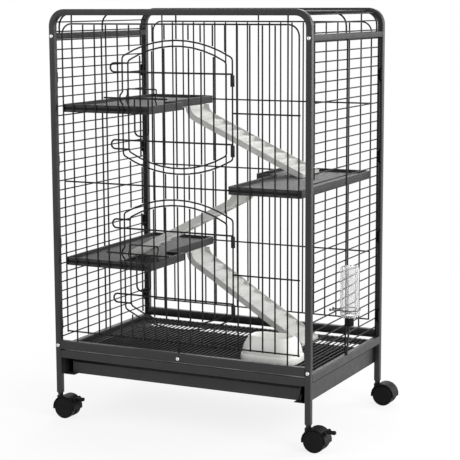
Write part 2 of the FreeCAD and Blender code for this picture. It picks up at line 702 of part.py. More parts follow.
# Ramps: stepped treads between two bent side bands, hooked up behind the deck's rim
def ramp(drop):
    """A ramp from the rim at x = 0 to a floor that lies the drop below the deck's wire."""
    bend, band, under = dim.ramp_bend, dim.ramp_band, -dim.deck_rim_height
    run = dim.ramp_landing - 2 * deck_left - dim.deck_narrow - dim.deck_wide
    reach_x, reach_z = bend - run, drop + under
    slope = math.atan2(reach_x, reach_z) + math.acos(bend / math.hypot(reach_x, reach_z))
    turn_end = math.pi / 2 - slope
    turns = [math.pi + turn_end * step / CORNER_FACETS for step in range(CORNER_FACETS + 1)]

    def arc(radius):
        return [Vector(bend + radius * math.cos(turn), 0, under + radius * math.sin(turn)) for turn in turns]

    def side(corners, width, start):
        solid = Part.Face(Part.makePolygon(corners + corners[:1])).extrude(Y * width)
        return solid.translated(Y * start)

    toe = run + dim.ramp_toe
    toe_top = band / math.cos(slope) - dim.ramp_toe * math.tan(slope) - drop
    behind = -dim.deck_rim - dim.hook_gap
    plate_under = dim.deck_floor - dim.deck_plate
    hook_back, hook_under = behind - dim.ramp_plate, under - dim.ramp_plate
    hook = [Vector(behind, 0, under), Vector(behind, 0, plate_under), Vector(hook_back, 0, plate_under),
            Vector(hook_back, 0, hook_under), Vector(0, 0, hook_under)]
    foot = [Vector(run, 0, -drop), Vector(toe, 0, -drop)]
    inner = arc(bend - band)
    wall = hook + arc(bend)[1:] + foot + [Vector(toe, 0, toe_top)] + inner[::-1]

    first, last = inner[-1], Vector(toe, 0, toe_top)
    noses = [first + (last - first) * (step / TREADS) - Z * dim.nose_drop for step in range(TREADS + 1)]
    tread = [Vector(dim.ramp_plate, 0, under - dim.tread_rise)]
    for nose in noses[:-1]:
        tread += [nose, nose - Z * dim.tread_rise]
    back = Vector(dim.ramp_plate, 0, dim.ramp_plate)
    plate = hook + [corner - back for corner in tread] + foot + [noses[-1]] + tread[::-1]
    plate.append(Vector(dim.ramp_plate, 0, under))
    plate_width = dim.ramp_width - 2 * dim.ramp_wall
    stairs = side(plate, plate_width, -plate_width / 2)
    walls = [side(wall, dim.ramp_wall, start) for start in (-dim.ramp_width / 2, plate_width / 2)]
    return stairs.fuse(walls).removeSplitter()


half_turn = Rotation(Z, 180)
deck_levels = {"upper": (upper_wire, Rotation()), "middle": (middle_wire, half_turn),
               "lower": (dim.lower_wire, Rotation())}
deck_shape = deck()
ramp_place = Placement(Vector(deck_edge, deck_step + dim.ramp_start + dim.ramp_width / 2, 0), Rotation())
floors = [height + dim.deck_floor for height, turn in deck_levels.values()] + [grate_top]
for index, (level, (height, turn)) in enumerate(deck_levels.items()):
    stand = Placement(Z * height, turn)
    nodes[level + "_deck"] = feature(level + "_deck", deck_shape)
    nodes[level + "_deck"].Placement = stand
    nodes[level + "_ramp"] = feature(level + "_ramp", ramp(height - floors[index + 1]))
    nodes[level + "_ramp"].Placement = stand.multiply(ramp_place)


# Food bowl: a flared dish lofted through rounded rectangles
def rounded_ring(length, width, corner, height):
    ring = []
    for quarter, (side, end) in enumerate(((1, 1), (-1, 1), (-1, -1), (1, -1))):
        centre = Vector(side * (length / 2 - corner), end * (width / 2 - corner), height)
        for step in range(CORNER_FACETS + 1):
            turn = math.pi / 2 * (quarter + step / CORNER_FACETS)
            ring.append(centre + corner * Vector(math.cos(turn), math.sin(turn), 0))
    return ring


def food_bowl():
    flare = (dim.bowl_length - dim.bowl_rim_length) / 2

    def ring(inset, height):
        length, width = dim.bowl_length - 2 * inset, dim.bowl_width - 2 * inset
        return rounded_ring(length, width, dim.bowl_corner - inset, height)

    lip = flare + dim.bowl_wall
    outside = lofted([ring(0, 0), ring(flare, dim.bowl_height)])
    return outside.cut(lofted([ring(lip + dim.bowl_draft, dim.bowl_floor), ring(lip, dim.bowl_height)]))


nodes["food_bowl"] = feature("food_bowl", food_bowl())
bowl_spot = Vector(post_x - dim.bowl_from_right, dim.bowl_from_front - post_y, grate_top)
nodes["food_bowl"].Placement = Placement(bowl_spot, Rotation())


# Drinking bottle on the outside of the right-hand panel
bottle_axis = Vector(post_x + dim.bottle_stand_off, dim.bottle_from_front - post_y, 0)


def bottle_ring(radius, height):
    return section(bottle_axis + Z * height, Z, X, 2 * radius, ROUND_SIDES)


def bottle_body():
    low, high = dim.bottle_bottom + dim.bottle_shoulder, dim.bottle_top - dim.bottle_shoulder
    wide, narrow = dim.bottle_radius, dim.bottle_radius - dim.bottle_shoulder
    outside = lofted([bottle_ring(narrow, dim.bottle_bottom), bottle_ring(wide, low), bottle_ring(wide, high),
                      bottle_ring(narrow, dim.bottle_top)])
    hollow = lofted([bottle_ring(narrow - dim.bottle_wall, dim.bottle_bottom + dim.bottle_wall),
                     bottle_ring(wide - dim.bottle_wall, low), bottle_ring(wide - dim.bottle_wall, high),
                     bottle_ring(narrow - dim.bottle_wall, dim.bottle_top - dim.bottle_wall)])
    neck = lofted([bottle_ring(dim.bottle_neck, dim.bottle_bottom), bottle_ring(dim.bottle_neck, low)])
    return outside.cut([hollow, neck])


def bottle_cap():
    low = dim.bottle_bottom - dim.cap_height
    return lofted([bottle_ring(dim.cap_radius, low), bottle_ring(dim.cap_radius, dim.bottle_bottom)])


def bottle_spout():
    top = bottle_axis + Z * (dim.bottle_bottom - dim.cap_height)
    fall = Vector(-dim.spout_lean, 0, -dim.spout_length)
    outer, bore = [polygon(section(top, Z, X, 2 * radius, PIN_SIDES)).extrude(fall)
                   for radius in (dim.spout_radius, dim.spout_bore)]
    return outer.cut(bore)


def bottle_holder():
    """A wire ring round the bottle on two arms that lie on a wire of the side panel."""
    layer = post_x - dim.side_upright / 2 - dim.side_wire / 2
    height = dim.side_first_wire + HOLDER_ROW * dim.side_pitch + reach(dim.side_wire) + dim.holder_wire / 2
    clear = dim.bottle_radius / math.cos(math.pi / ROUND_SIDES) + dim.wire_gap
    ring_radius = clear + reach(dim.holder_wire) + dim.bend_sag
    circle = Part.makeCircle(ring_radius, bottle_axis + Z * (height + dim.holder_wire))
    ring = wire([circle], dim.holder_wire, Z)
    under_ring = bottle_axis.x - math.sqrt(ring_radius ** 2 - dim.holder_spread ** 2) + dim.holder_wire / 2
    shapes = [ring]
    for way in (-1, 1):
        y = bottle_axis.y + way * dim.holder_spread
        end = Vector(layer - dim.holder_end, y, height)
        shapes.append(rod(end, Vector(under_ring, y, height), dim.holder_wire, Z))
        shapes.append(rod(end - X * dim.holder_wire, end, dim.holder_knob, Z))
    return group(shapes)


nodes["bottle_body"] = feature("bottle_body", bottle_body())
nodes["bottle_cap"] = feature("bottle_cap", bottle_cap())
nodes["bottle_spout"] = feature("bottle_spout", bottle_spout())
nodes["bottle_holder"] = feature("bottle_holder", bottle_holder())


# Casters: stem, hood and twin wheels; the front pair have a brake lever
def across(radius, low, high, x, height):
    """A round pin along Y from low to high."""
    return Part.makeCylinder(radius, high - low, Vector(x, low, height), Y)


def barrel(radius, low, high, x, height):
    """A flat-sided pin along Y from low to high."""
    return rod(Vector(x, low, height), Vector(x, high, height), 2 * radius, Z, PIN_SIDES)


pivot_turn = math.radians(dim.lever_pivot_angle)
pivot = Vector(dim.caster_trail + dim.lever_pivot_radius * math.cos(pivot_turn), 0,
               dim.wheel_radius + dim.lever_pivot_radius * math.sin(pivot_turn))


def lug(way):
    inner = dim.lever_half_width + dim.lug_gap
    low = min(way * inner, way * (inner + dim.lug_width))
    ear = barrel(dim.lug_radius, low, low + dim.lug_width, pivot.x, pivot.z)
    root = Part.makeBox(dim.lug_radius * 2, dim.lug_width, dim.lug_radius + dim.lug_width,
                        Vector(-dim.lug_radius, low, -dim.lug_radius - dim.lug_width))
    root.Placement = Placement(Vector(pivot.x, 0, pivot.z), Rotation(Y, 90 - dim.lever_pivot_angle))
    return ear.fuse(root)


def drum(radius, low, high, sides=ROUND_SIDES):
    """A flat-sided disc along Y, centred on the axle."""
    axle = Vector(dim.caster_trail, 0, dim.wheel_radius)
    return rod(axle + Y * low, axle + Y * high, 2 * radius, Z, sides)


def caster_hood(braked):
    x, height, far = dim.caster_trail, dim.wheel_radius, dim.hood_radius
    hood = drum(dim.hood_radius, -dim.hood_half_width, dim.hood_half_width)
    hood = hood.fuse(Part.makeCylinder(dim.boss_radius, dim.boss_top - height, Vector(0, 0, height)))
    if braked:
        hood = hood.fuse([lug(-1), lug(1)])
    skirt = Part.makeBox(4 * far, 2 * far, 2 * far, Vector(-2 * far, -far, height - dim.hood_skirt - 2 * far))
    seat = Part.makeCylinder(dim.boss_radius, far, Vector(0, 0, dim.boss_top))
    wells = [drum(dim.hood_bore, -far, -dim.hood_web), drum(dim.hood_bore, dim.hood_web, far)]
    hood = hood.cut(wells + [skirt, seat])
    hood = hood.fuse(drum(dim.boss_radius, -dim.hood_web, dim.hood_web, PIN_SIDES))
    hood = hood.cut(barrel(dim.axle_radius + dim.hinge_play, -far, far, x, height))
    if braked:
        hood = hood.cut(barrel(dim.lever_pin + dim.hinge_play, -far, far, pivot.x, pivot.z))
    return hood.removeSplitter()


def caster_wheels():
    gap = dim.wheel_inner_face
    axle = across(dim.axle_radius, -gap, gap, dim.caster_trail, dim.wheel_radius)
    discs = [drum(dim.wheel_radius, dim.wheel_inner_face, dim.wheel_outer_face),
             drum(dim.wheel_radius, -dim.wheel_outer_face, -dim.wheel_inner_face)]
    return axle.fuse(discs).removeSplitter()


def caster_stem():
    """A pin with a collar that the leg stands on and a plug up inside the leg."""
    collar = dim.leg_bottom - dim.collar_height
    steps = [(dim.boss_top, collar, dim.stem_radius), (collar, dim.leg_bottom, dim.stem_collar),
             (dim.leg_bottom, dim.leg_bottom + dim.stem_plug_height, dim.stem_plug)]
    rods = [rod(Z * low, Z * high, 2 * radius, X, PIN_SIDES) for low, high, radius in steps]
    return rods[0].fuse(rods[1:]).removeSplitter()


def brake_lever():
    half, thick = dim.lever_half_width, dim.lever_thickness
    sleeve = barrel(dim.lever_barrel, -half, half, pivot.x, pivot.z)
    pin_end = half + dim.lug_gap + dim.lug_width
    pin = across(dim.lever_pin, -pin_end, pin_end, pivot.x, pivot.z)
    root = Vector(pivot.x, -half, pivot.z - thick / 2)
    arm = Part.makeBox(dim.lever_length - thick / 2, 2 * half, thick, root)
    tip = barrel(thick / 2, -half, half, pivot.x + dim.lever_length - thick / 2, pivot.z)
    return sleeve.fuse([pin, arm, tip]).removeSplitter()


for end, end_way in ENDS.items():
    for side, side_way in SIDES.items():
        name = f"{end}_{side}_caster"
        foot = Placement(Vector(side_way * post_x, end_way * post_y, 0), Rotation())
        pieces = {"stem": caster_stem(), "hood": caster_hood(end == "front"), "wheels": caster_wheels()}
        if end == "front":
            pieces["brake"] = brake_lever()
        for piece, shape in pieces.items():
            nodes[f"{name}_{piece}"] = feature(f"{name}_{piece}", shape)
            nodes[f"{name}_{piece}"].Placement = foot

# Check every object, then export each node with the origin under the middle of the whole cage
doc.recompute()
for item in doc.Objects:
    if "Invalid" in item.State or "Error" in item.State:
        raise RuntimeError(f"{item.Name} did not build: {item.State}")
boxes = {}
for label, item in nodes.items():
    item.Label = label
    if item.Shape.isNull() or not item.Shape.isValid() or not item.Shape.Solids:
        raise RuntimeError(f"{label} has no valid solid")
    boxes[label] = item.Shape.optimalBoundingBox()
whole = FreeCAD.BoundBox()
for extent in boxes.values():
    whole.add(extent)
middle = Vector(whole.Center.x, whole.Center.y, 0)
for label, item in nodes.items():
    item.Shape.translated(-middle).exportStep(f"parts/{label}.step")
print(len(nodes), "nodes; the frame's centre lies at", -middle)
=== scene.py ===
import json
import math
import bmesh
import bpy
from mathutils import Matrix, Vector


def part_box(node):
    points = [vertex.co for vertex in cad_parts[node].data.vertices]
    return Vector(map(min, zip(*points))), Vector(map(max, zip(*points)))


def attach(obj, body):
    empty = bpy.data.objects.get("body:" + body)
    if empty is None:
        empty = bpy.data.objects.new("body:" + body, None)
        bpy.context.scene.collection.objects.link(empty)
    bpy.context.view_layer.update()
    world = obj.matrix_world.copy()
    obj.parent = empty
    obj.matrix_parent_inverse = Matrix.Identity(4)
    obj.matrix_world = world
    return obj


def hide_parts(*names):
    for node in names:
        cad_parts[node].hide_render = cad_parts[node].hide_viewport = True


# Small animal cage on casters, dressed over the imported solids. Metres, +Z up, the front faces -Y.
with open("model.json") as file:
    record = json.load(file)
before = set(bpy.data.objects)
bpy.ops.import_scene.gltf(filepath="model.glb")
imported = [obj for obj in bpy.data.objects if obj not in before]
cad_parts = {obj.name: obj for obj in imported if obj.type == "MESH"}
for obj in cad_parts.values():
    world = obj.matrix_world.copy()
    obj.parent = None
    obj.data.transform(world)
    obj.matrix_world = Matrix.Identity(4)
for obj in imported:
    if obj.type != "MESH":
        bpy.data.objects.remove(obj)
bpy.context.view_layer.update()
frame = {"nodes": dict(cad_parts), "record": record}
nodes = frame["nodes"]
bodies = frame["record"]["behaviour"]["bodies"]
body_of = {node: body for body, names in bodies.items() for node in names}
scene = bpy.context.scene
X, Y, Z = Vector((1, 0, 0)), Vector((0, 1, 0)), Vector((0, 0, 1))
CORNERS = ("front_left", "front_right", "rear_left", "rear_right")
BRAKED = CORNERS[:2]

# Reading the solids
SECTION = 6             # corners of a wire's section in the solids
FLAT_TURN = 0.01        # largest turn, in radians, inside one flat CAD face
WELD = 1e-6
TOUCH = 1e-5            # a corner this near to a plane lies on it

# Wires
WIRE_SIDES = 12
BEND_CHORD = 0.02       # longest stretch that is drawn as a smooth bend
BEND_TURN = 0.02        # least turn along such a stretch, in radians
BEND_STEPS = 4
END_EASE = 0.12         # length of an eased end, as a share of the wire's width
END_SCALE = 0.76
SLEEVE_WALL, SLEEVE_EASE = 0.0022, 0.0008

# Tubes and runners
TUBE_ROUND, TUBE_WALL = 0.0022, 0.0012
HOOP_BEND, HOOP_STEPS = 0.032, 12
UPPER_RAIL_GAP, LOWER_RAIL_GAP = 0.0008, 0.0022
# Painted shade along the foot of the side rails: the height of the black band, then the blur of its
# edge
SIDE_RAIL_SHADE_SEAM = 0.0026
SHADE_SEAM_BLUR = 0.0002
RUNNER_REACH = 0.003
RUNNER_STEP = (0.0015, 0.001, 0.0005)   # foot, middle and top of its step, below the end rail

# Mouldings
TRAY_INSET, TRAY_DROP, TRAY_FRONT = 0.012, 0.0075, 0.003
CLIP_TAPER = 0.72
BEVEL_STEPS = 3

ROUGHNESS_SPREAD = 0.12


# Materials
class Nodes:
    """A material's node tree with short helpers."""

    def __init__(self, name):
        self.material = bpy.data.materials.new(name)
        self.material.use_nodes = True
        self.tree = self.material.node_tree
        self.shader = self.tree.nodes["Principled BSDF"]
        self.place = self.add("ShaderNodeTexCoord").outputs["Object"]

    def add(self, kind, **inputs):
        node = self.tree.nodes.new(kind)
        for name, value in inputs.items():
            self.set(node.inputs[name.replace("_", " ")], value)
        return node

    def set(self, socket, value):
        if isinstance(value, bpy.types.NodeSocket):
            self.tree.links.new(value, socket)
        else:
            socket.default_value = value

    def finish(self, **inputs):
        for name, value in inputs.items():
            self.set(self.shader.inputs[name.replace("_", " ")], value)

    def noise(self, scale, detail=3.0, stretch=(1, 1, 1)):
        mapping = self.add("ShaderNodeMapping", Vector=self.place, Scale=stretch)
        return self.add("ShaderNodeTexNoise", Vector=mapping.outputs["Vector"], Scale=scale,
                        Detail=detail).outputs["Fac"]

    def cells(self, scale):
        voronoi = self.add("ShaderNodeTexVoronoi", Vector=self.place, Scale=scale)
        return voronoi.outputs["Distance"]

    def span(self, value, low=0.0, high=1.0, start=0.3, end=0.7):
        """Values from start to end turned into values from low to high."""
        node = self.add("ShaderNodeMapRange", Value=value, From_Min=start, From_Max=end,
                        To_Min=low, To_Max=high)
        return node.outputs["Result"]

    def blend(self, factor, first, second):
        """A mix of two colours, each a socket or three numbers."""
        node = self.tree.nodes.new("ShaderNodeMix")
        node.data_type = "RGBA"
        self.set(node.inputs[0], factor)
        for socket, colour in ((node.inputs[6], first), (node.inputs[7], second)):
            linked = isinstance(colour, bpy.types.NodeSocket)
            self.set(socket, colour if linked else (*colour, 1))
        return node.outputs[2]

    def bump(self, height, distance, strength):
        node = self.add("ShaderNodeBump", Height=height, Distance=distance, Strength=strength)
        return node.outputs["Normal"]


def powder_coat(name, dark, light, rough, gloss, shade_seam=None):
    """Powder coat: a fine orange peel over slow changes of tone, and a painted shade below a seam's
    level, black and matt there, for the shaded gap where two parts meet.
    """
    tree = Nodes(name)
    colour = tree.blend(tree.span(tree.noise(14)), dark, light)
    roughness = tree.span(tree.noise(60), rough, rough + ROUGHNESS_SPREAD)
    if shade_seam:
        # Painted shade: black and fully rough below this level, for the shaded gap where the side
        # rail meets the runner
        level = tree.add("ShaderNodeSeparateXYZ", Vector=tree.place).outputs["Z"]
        below = tree.span(level, 1.0, 0.0, shade_seam - SHADE_SEAM_BLUR, shade_seam + SHADE_SEAM_BLUR)
        colour = tree.blend(below, colour, (0.0008, 0.0008, 0.0008))
        roughness = tree.span(below, roughness, 1.0, 0.0, 1.0)
    peel = tree.noise(950, 2.0)
    tree.finish(Base_Color=colour, Roughness=roughness, Normal=tree.bump(peel, 0.00012, 0.45),
                Specular_IOR_Level=gloss)
    return tree.material


def moulded(name, dark, light, rough, grain, depth=0.00006, gloss=0.5):
    """Moulded plastic with a spark-eroded grain."""
    tree = Nodes(name)
    tree.finish(Base_Color=tree.blend(tree.span(tree.noise(22)), dark, light),
                Roughness=tree.span(tree.noise(120), rough, rough + ROUGHNESS_SPREAD),
                Normal=tree.bump(tree.cells(grain), depth, 0.4), Specular_IOR_Level=gloss)
    return tree.material


def tray_plastic():
    """Moulded plastic, black and matt on the faces that look up: a painted shade on the tray floor
    under the grate.
    """
    tree = Nodes("tray_plastic_grain_painted_shade")
    sides = tree.blend(tree.span(tree.noise(22)), (0.012, 0.012, 0.0125), (0.018, 0.018, 0.0185))
    normal = tree.add("ShaderNodeTexCoord").outputs["Normal"]
    height = tree.add("ShaderNodeSeparateXYZ", Vector=normal).outputs["Z"]
    # Painted shade: faces that look up go black and fully rough, for the shade on the floor under
    # the grate
    painted_shade_up = tree.span(height, 0.0, 1.0, 0.6, 0.95)
    rough = tree.span(tree.noise(120), 0.45, 0.57)
    tree.finish(Base_Color=tree.blend(painted_shade_up, sides, (0.0015, 0.0015, 0.0016)),
                Roughness=tree.span(painted_shade_up, rough, 1.0, 0.0, 1.0),
                Normal=tree.bump(tree.cells(1000), 0.0001, 0.4), Specular_IOR_Level=0.4)
    return tree.material


def metal(name, dark, light, rough, stretch):
    """Plated steel with fine drawn lines."""
    tree = Nodes(name)
    lines = tree.noise(700, 2.0, stretch)
    tree.finish(Base_Color=tree.blend(tree.span(lines), dark, light), Metallic=1.0,
                Roughness=tree.span(lines, rough, rough + ROUGHNESS_SPREAD),
                Normal=tree.bump(lines, 0.00003, 0.3))
    return tree.material


def clear_plastic():
    """Clear blown plastic, a little milky and uneven in the wall."""
    tree = Nodes("clear_plastic_wall")
    waves = tree.noise(45, 1.0, (1, 1, 0.3))
    tree.finish(Base_Color=tree.blend(tree.span(waves), (0.85, 0.85, 0.85), (0.91, 0.91, 0.91)),
                Roughness=tree.span(tree.noise(90), 0.03, 0.09),
                Normal=tree.bump(waves, 0.00008, 0.3), Transmission_Weight=0.9, IOR=1.1)
    return tree.material


CHARCOAL = (0.010, 0.010, 0.0105), (0.015, 0.015, 0.0155)
COAT = powder_coat("powder_coat_finish", *CHARCOAL, rough=0.36, gloss=0.42)
BAR = powder_coat("crossbar_coat_finish", *CHARCOAL, rough=0.40, gloss=0.24)
# The side rails carry a painted shade line along their foot, for the shaded seam between rail and
# runner
RAIL_WITH_SHADE_SEAM = powder_coat("side_rail_coat_painted_shade_seam", *CHARCOAL, rough=0.36, gloss=0.42,
                   shade_seam=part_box("right_base_rail")[0].z + SIDE_RAIL_SHADE_SEAM)
HOLDER = powder_coat("holder_coat_finish", (0.06, 0.06, 0.061), (0.08, 0.08, 0.081),
                     rough=0.34, gloss=0.5)
GRATE = powder_coat("grate_coat_finish", (0.010, 0.010, 0.0104), (0.014, 0.014, 0.0144),
                    rough=0.44, gloss=0.34)
WIRE = powder_coat("wire_coat_finish", (0.005, 0.005, 0.0053), (0.009, 0.009, 0.0093),
                   rough=0.48, gloss=0.2)
DECK = moulded("deck_plastic_grain", (0.018, 0.018, 0.019), (0.026, 0.026, 0.027),
               rough=0.48, grain=900, depth=0.0001, gloss=0.3)
LIGHT = moulded("light_plastic_grain", (0.50, 0.50, 0.48), (0.58, 0.58, 0.56),
                rough=0.38, grain=1100)
BOWL = moulded("bowl_plastic_grain", (0.82, 0.82, 0.79), (0.90, 0.90, 0.87),
               rough=0.34, grain=1100)
BLACK = moulded("black_plastic_grain", (0.003, 0.003, 0.0032), (0.005, 0.005, 0.0052),
                rough=0.46, grain=1400, gloss=0.12)
CLIP = moulded("clip_plastic_grain", (0.0012, 0.0012, 0.0013), (0.002, 0.002, 0.0021),
               rough=0.55, grain=1400, gloss=0.06)
SCREW = metal("screw_steel_plate", (0.62, 0.62, 0.63), (0.78, 0.78, 0.79),
              rough=0.22, stretch=(1, 6, 1))
SPOUT = metal("spout_steel_drawn", (0.030, 0.030, 0.031), (0.050, 0.050, 0.051),
              rough=0.34, stretch=(8, 8, 0.3))
SLOTS = {"powder_coat": COAT, "deck_plastic": DECK, "light_plastic": LIGHT,
         "black_plastic": BLACK, "tray_plastic": tray_plastic(),
         "clear_plastic": clear_plastic(), "screw_steel": SCREW, "spout_steel": SPOUT}


# Pieces
def dress(node, bm, slot, suffix, sharp=40, bevel=None, finish=None):
    """Turn a bmesh into the piece that stands for a CAD node."""
    bmesh.ops.recalc_face_normals(bm, faces=bm.faces)
    mesh = bpy.data.meshes.new(f"{node}_{suffix}")
    bm.to_mesh(mesh)
    bm.free()
    mesh.shade_smooth()
    mesh.set_sharp_from_angle(angle=math.radians(sharp))
    mesh.materials.append(finish or SLOTS[slot])
    piece = bpy.data.objects.new(mesh.name, mesh)
    scene.collection.objects.link(piece)
    if bevel:
        edge = piece.modifiers.new("rounded_edges", "BEVEL")
        edge.width = bevel
        edge.segments = BEVEL_STEPS
        edge.limit_method = "ANGLE"
        edge.angle_limit = math.radians(sharp)
        edge.harden_normals = True
    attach(piece, body_of[node])
    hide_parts(node)


def solid_faces(node):
    """The node's solids with one polygon for each flat CAD face."""
    bm = bmesh.new()
    bm.from_mesh(nodes[node].data)
    flat = [edge for edge in bm.edges
            if len(edge.link_faces) == 2 and edge.calc_face_angle() < FLAT_TURN]
    bmesh.ops.dissolve_edges(bm, edges=flat, use_verts=False)
    bmesh.ops.remove_doubles(bm, verts=bm.verts, dist=WELD)
    return bm


def solids(bm):
    """The faces of each separate solid in turn."""
    bm.faces.index_update()
    seen = set()
    for seed in bm.faces:
        if seed.index in seen:
            continue
        seen.add(seed.index)
        found = [seed]
        for face in found:
            for edge in face.edges:
                for other in edge.link_faces:
                    if other.index not in seen:
                        seen.add(other.index)
                        found.append(other)
        yield found


def extent(faces):
    """The low and high corners of the box round some faces."""
    spots = [vert.co for face in faces for vert in face.verts]
    low = Vector([min(spot[axis] for spot in spots) for axis in range(3)])
    high = Vector([max(spot[axis] for spot in spots) for axis in range(3)])
    return low, high


def cut(bm, spot, way):
    """New edges where a plane crosses the faces."""
    everything = bm.verts[:] + bm.edges[:] + bm.faces[:]
    bmesh.ops.bisect_plane(bm, geom=everything, plane_co=spot, plane_no=way)


def skin(bm, rings, closed=False):
    """Quads between rings of matching points, and triangles where a ring is one point."""
    count = len(rings)
    for index in range(count if closed else count - 1):
        near, far = rings[index], rings[(index + 1) % count]
        for side in range(len(near)):
            corners = [near[side - 1], near[side], far[side], far[side - 1]]
            distinct = list(dict.fromkeys(corners))
            if len(distinct) > 2:
                bm.faces.new(distinct)


def points(bm, spots):
    return [bm.verts.new(spot) for spot in spots]


def turned(bm, profile, origin, axis, steps=32, closed=False, ridge=None):
    """(radius, height) pairs swept round an axis; ridge changes the radius round the turn."""
    across = axis.orthogonal().normalized()
    beside = axis.cross(across)
    rings = []
    for radius, height in profile:
        centre = origin + axis * height
        if radius == 0:
            rings.append([bm.verts.new(centre)] * steps)
            continue
        ring = []
        for step in range(steps):
            turn = 2 * math.pi * step / steps
            size = radius + (ridge(step, height) if ridge else 0)
            ring.append(centre + size * (math.cos(turn) * across + math.sin(turn) * beside))
        rings.append(points(bm, ring))
    skin(bm, rings, closed)


def soften(node, slot, bevel, suffix="moulding"):
    """The node's own solids with rounded edges."""
    dress(node, solid_faces(node), slot, suffix, 32, bevel)


# Round wires in place of the flat-sided ones
def closed_start(faces):
    """The first two sections of a closed wire: the ring of long edges that returns in six faces."""
    start = faces[0]
    for edge in list(start.edges)[:2]:
        ring, onward = [], []
        face, side = start, edge
        corner, ahead = edge.verts
        while len(ring) <= SECTION:
            ring.append(corner)
            onward.append(ahead)
            loop = next(loop for loop in face.loops if loop.edge == side)
            side = loop.link_loop_next.link_loop_next.edge
            linked = {link.other_vert(corner) for link in corner.link_edges}
            corner, ahead = side.verts if side.verts[0] in linked else reversed(side.verts)
            face = next(other for other in side.link_faces if other != face)
            if face == start:
                break
        if len(ring) == SECTION:
            return ring, onward
    return None


def wire_sections(faces):
    """The sections along a wire and whether it closes on itself, or None for another solid."""
    caps = [face for face in faces if len(face.verts) == SECTION]
    if any(len(face.verts) not in (4, SECTION) for face in faces) or len(caps) not in (0, 2):
        return None
    if caps:
        sections, before = [list(caps[0].verts)], set()
    else:
        pair = closed_start(faces)
        if pair is None:
            return None
        sections, before = list(pair), set(pair[0])
    while True:
        here = set(sections[-1])
        ahead = []
        for vert in sections[-1]:
            others = [edge.other_vert(vert) for edge in vert.link_edges]
            ahead += [other for other in others if other not in here and other not in before]
        if len(ahead) != SECTION:
            return sections, False
        if ahead[0] in sections[0]:
            return sections, True
        before = here
        sections.append(ahead)


def add_wire(bm, sections, closed):
    """A round wire through the sections, with smooth bends and eased ends."""
    loops = [[vert.co.copy() for vert in section] for section in sections]
    centres = [sum(loop, Vector()) / SECTION for loop in loops]
    count = len(loops)

    def way(index):
        return (centres[(index + 1) % count] - centres[index]).normalized()

    def normal(index):
        if closed or 0 < index < count - 1:
            return (way(index - 1) + way(index)).normalized()
        return way(min(index, count - 2))

    stations = []
    for index in range(count if closed else count - 1):
        after = (index + 1) % count
        chord = (centres[after] - centres[index]).length
        bend = way(index).angle(normal(index)) + way(index).angle(normal(after))
        steps = BEND_STEPS if chord < BEND_CHORD and bend > BEND_TURN else 1
        for step in range(steps):
            # A cubic from each corner to the next, square to both sections
            t = step / steps
            leave, arrive = 2 * t ** 3 - 3 * t ** 2 + 1, 3 * t ** 2 - 2 * t ** 3
            leave_pull, arrive_pull = t ** 3 - 2 * t ** 2 + t, t ** 3 - t ** 2
            station = []
            for start, end in zip(loops[index], loops[after]):
                run = (end - start).length
                station.append(leave * start + leave_pull * run * normal(index)
                               + arrive * end + arrive_pull * run * normal(after))
            stations.append((station, 1))
    if not closed:
        ease = END_EASE * (loops[0][0] - loops[0][SECTION // 2]).length
        first = [spot + way(0) * ease for spot in loops[0]]
        last = [spot - way(count - 2) * ease for spot in loops[-1]]
        stations = [(loops[0], END_SCALE), (first, 1), *stations[1:],
                    (last, 1), (loops[-1], END_SCALE)]
    turns = [2 * math.pi * side / WIRE_SIDES for side in range(WIRE_SIDES)]
    rings = []
    for station, scale in stations:
        # Two square radii of the section, brought in from its corners to its flat sides
        centre = sum(station, Vector()) / SECTION
        across = station[0] - centre
        beside = (station[1] - centre - across / 2) / math.sin(math.pi / 3)
        size = scale * math.cos(math.pi / SECTION)
        rings.append(points(bm, [centre + size * (math.cos(turn) * across + math.sin(turn) * beside)
                                 for turn in turns]))
    skin(bm, rings, closed)
    if not closed:
        bm.faces.new(rings[0])
        bm.faces.new(rings[-1])


def hinge_sleeve(bm, low, high):
    """A rolled sleeve with eased ends."""
    centre = (low + high) / 2
    radius, height = (high.x - low.x) / 2, high.z - low.z
    bore, rim = radius - SLEEVE_WALL, radius - SLEEVE_EASE
    profile = [(bore, 0), (rim, 0), (radius, SLEEVE_EASE), (radius, height - SLEEVE_EASE),
               (rim, height), (bore, height)]
    turned(bm, profile, Vector((centre.x, centre.y, low.z)), Z, 24, closed=True)


def wires(node, finish=WIRE):
    """All the wires of a node, and the sleeves among them."""
    source, bm = solid_faces(node), bmesh.new()
    for faces in solids(source):
        found = wire_sections(faces)
        if found:
            add_wire(bm, *found)
        else:
            hinge_sleeve(bm, *extent(faces))
    source.free()
    dress(node, bm, "powder_coat", "wires", 50, finish=finish)


PANELS = ["rear_panel", "top_panel", "left_panel", "right_panel"]
PANELS += ["front_panel_" + part for part in ("border", "left", "right", "top", "middle", "bottom")]
DOORS = [level + part for level in ("upper", "lower")
         for part in ("_door_frame", "_door", "_latch_bolt", "_latch_guide")]
for node in PANELS + DOORS:
    wires(node)
wires("floor_grate", GRATE)
wires("bottle_holder", HOLDER)


# Square tubes with rounded edges
def rounded_rectangle(width, height, radius, steps=4):
    corners = []
    for quarter, (side, end) in enumerate(((1, 1), (-1, 1), (-1, -1), (1, -1))):
        for step in range(steps + 1):
            turn = math.pi / 2 * (quarter + step / steps)
            corners.append((side * (width / 2 - radius) + radius * math.cos(turn),
                            end * (height / 2 - radius) + radius * math.sin(turn)))
    return corners


def swept_tube(node, path, width, height, finish=COAT):
    """A hollow tube along a path of (centre, width direction, height direction)."""
    bm = bmesh.new()
    outside = rounded_rectangle(width, height, TUBE_ROUND)
    inside = rounded_rectangle(width - 2 * TUBE_WALL, height - 2 * TUBE_WALL,
                               TUBE_ROUND - TUBE_WALL)
    shells = []
    for outline in (outside, inside):
        shell = [points(bm, [centre + across * a + up * b for a, b in outline])
                 for centre, across, up in path]
        skin(bm, shell)
        shells.append(shell)
    for end in (0, -1):
        skin(bm, [shells[0][end], shells[1][end]])
    dress(node, bm, "powder_coat", "tube", finish=finish)


